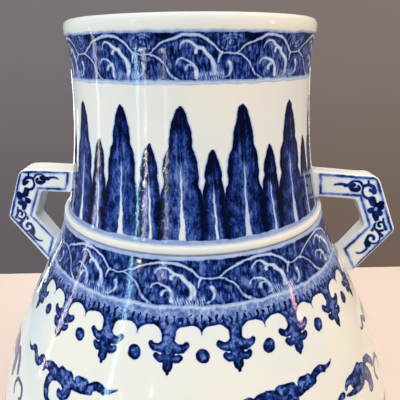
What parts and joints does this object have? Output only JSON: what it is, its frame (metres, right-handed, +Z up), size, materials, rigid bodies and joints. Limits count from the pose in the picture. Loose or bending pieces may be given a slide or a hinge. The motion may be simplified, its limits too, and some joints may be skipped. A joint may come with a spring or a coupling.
{
  "type": "hu vase",
  "caption": "Pear-shaped porcelain hu vase with a splayed foot, a wide waisted neck, a raised fillet, a rolled lip and bent strap handles, painted in underglaze blue.",
  "frame": {"origin": "on the floor, at the centre of the foot", "axes": "+Z up along the vase's axis from the foot to the lip; +X towards the right-hand handle; -Y towards the viewer"},
  "size_m": [0.347, 0.347, 0.5],
  "materials": {
    "white_glaze": "clear glossy glaze over white porcelain",
    "painted_glaze": "clear glossy glaze over cobalt blue painting on white porcelain"
  },
  "bodies": {
    "root": {"foot_ring": "painted_glaze", "lower_body": "painted_glaze", "upper_body": "painted_glaze", "neck": "painted_glaze", "neck_fillet": "white_glaze", "handle_right": "painted_glaze", "handle_left": "painted_glaze"}
  },
  "joints": []
}
